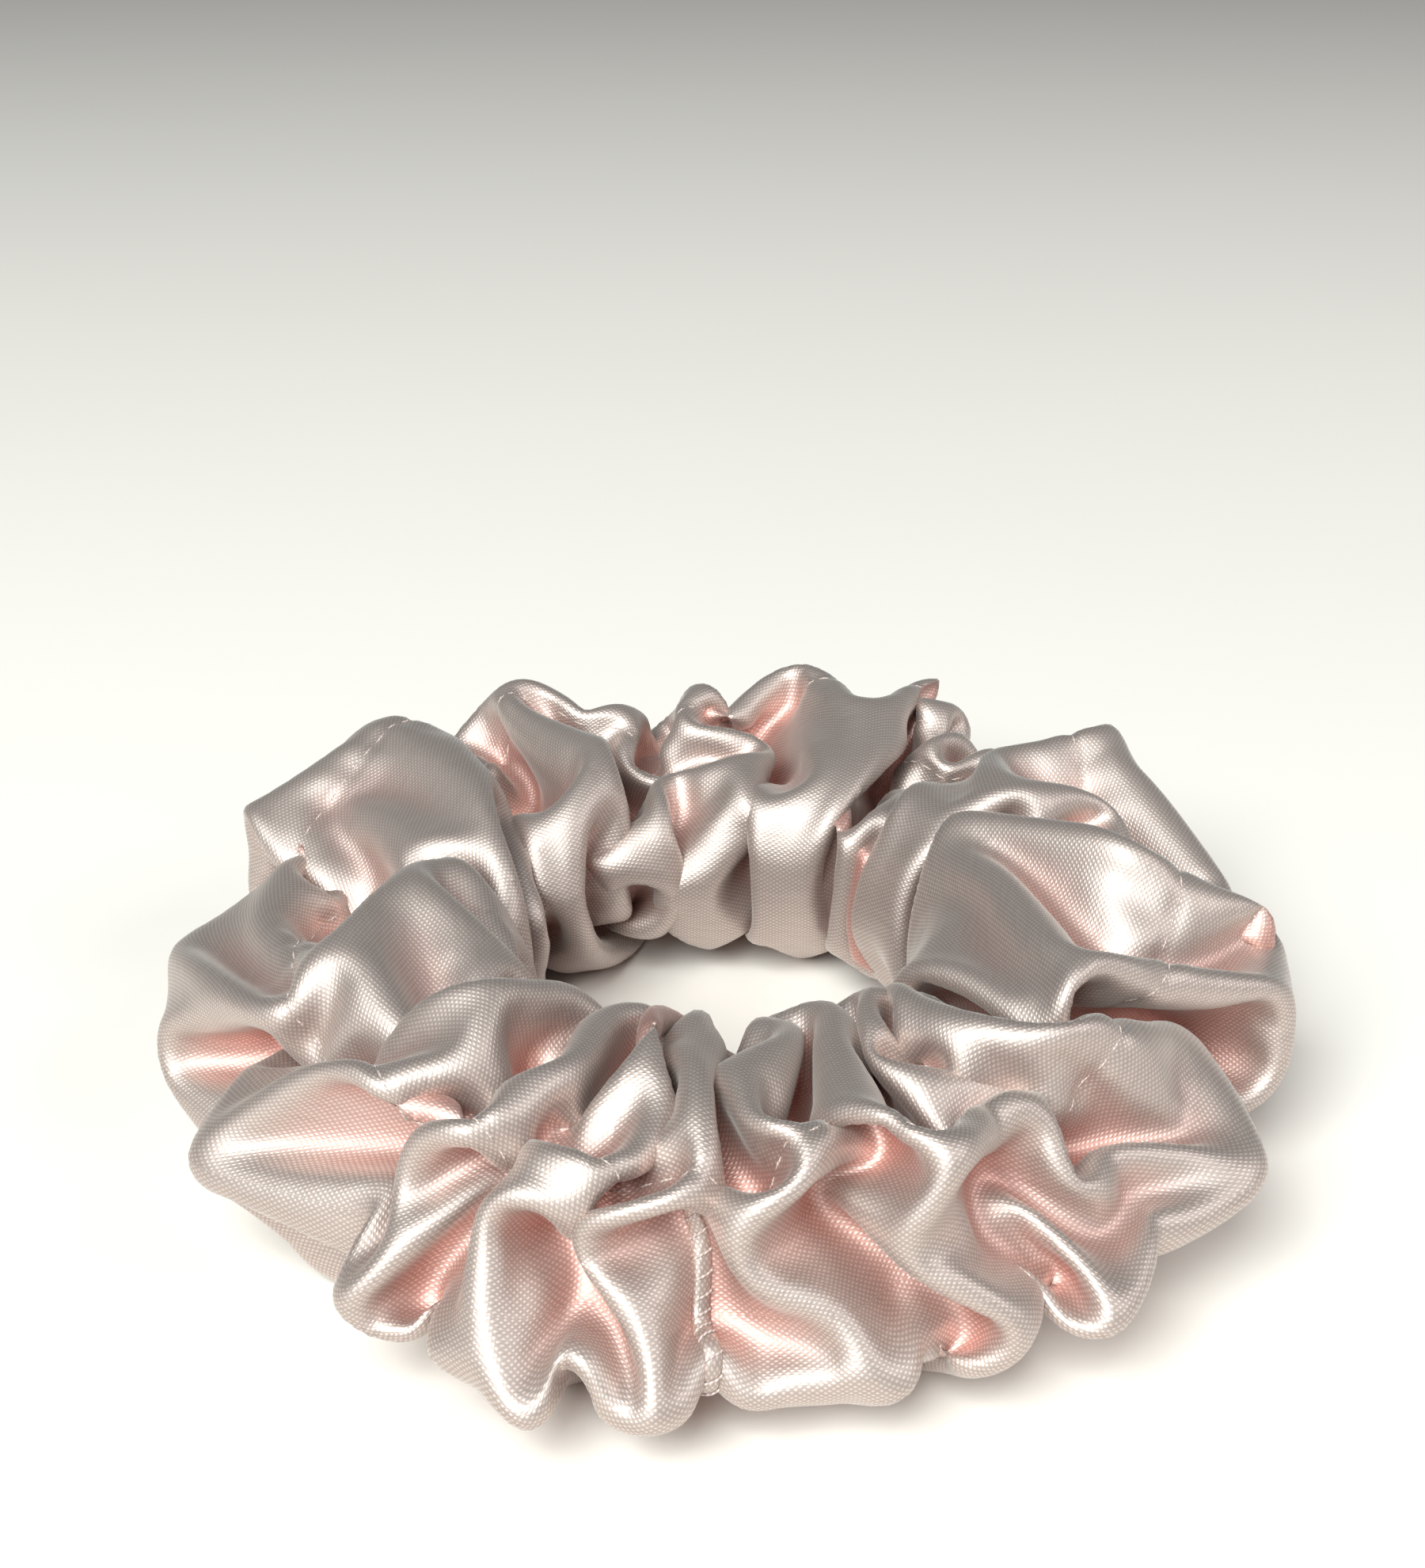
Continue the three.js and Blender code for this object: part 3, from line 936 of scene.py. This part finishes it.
def make_seam(grid, row):
    """The stitches that show in the seam's groove, in a group for each gather."""
    columns = len(grid)
    normals = normals_of(grid)
    path = grid[:, row] + normals[:, row] * 0.02
    step = TUBE_LENGTH / columns
    every, long = round(STITCH_PITCH / step), round(STITCH_LENGTH / step)
    groups = [[] for _ in range(GATHER_COUNT)]
    for first in range(0, columns - every + 1, every):
        points = path[[(first + i) % columns for i in range(long + 1)]]
        middle = points.mean(0)
        turn = math.degrees(math.atan2(middle[1], middle[0])) - FIRST_GATHER_DEG
        groups[int(turn % 360 // GATHER_STEP_DEG)].append(thread(points, SEAM_THREAD_RADIUS))
    for index, stitches in enumerate(groups):
        mesh = mesh_from("seam_stitches", *joined(stitches))
        mesh.materials.append(THREAD)
        piece = new_object(f"seam_stitches_{index + 1:02d}", mesh)
        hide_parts(f"seam_thread_{index + 1:02d}")
        follow_the_ring(piece, index)


def make_closing_join(grid, column):
    """The turned-in edge of one end of the tube, rolled and closed over the other end, and its stitches."""
    path = grid[column]
    up = unit(np.roll(path, -1, 0) - np.roll(path, 1, 0))
    out = normals_of(grid)[column]
    side = np.cross(up, out)
    turn = np.arange(12) / 12 * 2 * np.pi
    section = np.stack([HEM_HALF_THICKNESS * np.cos(turn), HEM_HALF_WIDTH * np.sin(turn)], -1)
    hem_mesh = mesh_from("closing_hem", *sweep(path + out * HEM_LIFT, out, side, section, closed=True))
    hem_mesh.materials.append(SATIN)
    hem = new_object("rolled_closing_hem", hem_mesh)
    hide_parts("closing_hem")
    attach(hem, CLOSING_BODY)

    stitches = []
    over = np.linspace(-HEM_STITCH_REACH, HEM_STITCH_REACH, 7)
    high, wide = HEM_HALF_THICKNESS + HEM_STITCH_LIFT, HEM_HALF_WIDTH + HEM_STITCH_LIFT
    for row in range(0, len(path), 2):
        arch = [
            path[row] + out[row] * (HEM_LIFT + high * math.cos(lean))
            + side[row] * wide * math.sin(lean) + up[row] * HEM_STITCH_SLANT * lean
            for lean in over
        ]
        stitches.append(thread(np.array(arch), SEAM_THREAD_RADIUS))
    stitch_mesh = mesh_from("closing_stitches", *joined(stitches))
    stitch_mesh.materials.append(THREAD)
    slip = new_object("closing_stitches", stitch_mesh)
    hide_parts("closing_stitch")
    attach(slip, CLOSING_BODY)


# ---- The elastic ----


def elastic_section():
    """A flat braid's section: rounded edges and shallow ribs across both faces."""
    half_width, half_thick = ELASTIC_WIDTH / 2, ELASTIC_THICKNESS / 2
    places = np.linspace(-half_width + 0.1, half_width - 0.1, 29)
    rib = half_thick - 0.1 + 0.1 * np.abs(np.sin(np.pi * (places + half_width) / RIB_PITCH))
    inner = np.stack([-rib, places], -1)
    outer = np.stack([rib, places], -1)[::-1]
    return np.concatenate([inner, [[0, half_width]], outer, [[0, -half_width]]])[::-1]


def arc(radius, start_deg, end_deg, count):
    """Points on a level arc at the elastic's height, and the outward direction at each."""
    turn = np.radians(np.linspace(start_deg, end_deg, count))
    out = np.stack([np.cos(turn), np.sin(turn), np.zeros(count)], -1)
    return out * radius + (0, 0, CENTRE_Z), out


def make_elastic():
    """The braided band, divided between the gathers."""
    steps = 12 * GATHER_COUNT
    path, out = arc(ELASTIC_RADIUS, 0, 360 * (1 - 1 / steps), steps)
    up = np.tile((0.0, 0.0, 1.0), (steps, 1))
    whole = mesh_from("elastic", *sweep(path, out, up, elastic_section(), closed=True))
    for index, (mesh, _) in enumerate(split_at_gathers(whole)):
        mesh.materials.append(ELASTIC)
        piece = new_object(f"braided_elastic_{index + 1:02d}", mesh)
        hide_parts(f"elastic_band_{index + 1:02d}")
        follow_the_ring(piece, index)


def make_lap():
    """The band's lapped end, on the hole's side at the closing join, and the zigzag tack that holds it."""
    lap_low, lap_high = (np.array(corner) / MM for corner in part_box("elastic_lap"))
    half_lap = math.degrees((lap_high[0] - lap_low[0]) / 2 / ELASTIC_RADIUS)
    lap_radius = ELASTIC_RADIUS - ELASTIC_THICKNESS - LAP_GAP
    path, out = arc(lap_radius, CLOSING_DEG - half_lap, CLOSING_DEG + half_lap, 25)
    up = np.tile((0.0, 0.0, 1.0), (len(path), 1))
    lap_mesh = mesh_from("lap", *sweep(path, out, up, elastic_section(), closed=False))
    lap_mesh.materials.append(ELASTIC)
    lap = new_object("braided_elastic_lap", lap_mesh)
    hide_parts("elastic_lap")
    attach(lap, CLOSING_BODY)

    tack_radius = lap_radius - ELASTIC_THICKNESS / 2 - THREAD_RADIUS
    reach = TACK_SHARE * half_lap
    path, out = arc(tack_radius, CLOSING_DEG - reach, CLOSING_DEG + reach, 61)
    path[:, 2] += 0.3 * ELASTIC_WIDTH * np.cos(np.arange(61) * np.pi / 5)
    tack_mesh = mesh_from("tack", *thread(path, THREAD_RADIUS, sides=8))
    tack_mesh.materials.append(THREAD)
    tack = new_object("zigzag_tack", tack_mesh)
    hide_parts("elastic_tack")
    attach(tack, CLOSING_BODY)


cloth, closing_column = simulate_cover()
cloth = refined(cloth)
seam_row = round(SEAM_DEG / 360 * cloth.shape[1])
cloth = press_seam(cloth, seam_row)
make_cover(cloth)
make_seam(cloth, seam_row)
make_closing_join(cloth, 2 * closing_column)
make_elastic()
make_lap()

# ---- Floor, light and camera ----


def make_floor():
    """The floor that the scrunchie lies on, which isn't part of it."""
    mesh = bpy.data.meshes.new("floor")
    half = 3.0
    mesh.from_pydata([(-half, -half, 0), (half, -half, 0), (half, half, 0), (-half, half, 0)], [],
                     [(0, 1, 2, 3)])
    mesh.materials.append(floor_material())
    new_object("floor", mesh)


def make_light(name, place, size, power, colour):
    """A square area light, in metres and watts, that faces the scrunchie."""
    light = bpy.data.lights.new(name, "AREA")
    light.size = size
    light.energy = power
    light.color = colour
    lamp = new_object(name, light)
    lamp.location = place
    lamp.rotation_euler = (Vector((0, 0, 0.012)) - Vector(place)).to_track_quat("-Z", "Y").to_euler()


def make_world(brightness, colour):
    """An even, dim studio all round."""
    world = bpy.data.worlds.new("studio")
    bpy.context.scene.world = world
    world.use_nodes = True
    background = world.node_tree.nodes["Background"]
    background.inputs[0].default_value = (*colour, 1)
    background.inputs[1].default_value = brightness


def make_camera():
    """Close and low, as the photograph was taken, so the front is seen larger than the back."""
    elevation, distance, below_horizon = math.radians(31), 0.209, math.radians(25.7)
    camera = bpy.data.cameras.new("camera")
    camera.lens = 49.8
    camera.clip_start = 0.005
    view = new_object("camera", camera)
    view.location = (-0.0007, -distance * math.cos(elevation), 0.0123 + distance * math.sin(elevation))
    view.rotation_euler = (math.pi / 2 - below_horizon, 0, 0)
    bpy.context.scene.camera = view


make_floor()
make_world(0.13, (0.93, 0.96, 1.0))
make_light("overhead", (-0.42, -0.88, 0.95), 0.8, 30.0, (0.93, 1.0, 0.97))
make_light("right", (0.9, -0.3, 0.7), 0.5, 4.0, (0.97, 1.0, 0.98))
bpy.context.scene.view_settings.view_transform = "Standard"
make_camera()
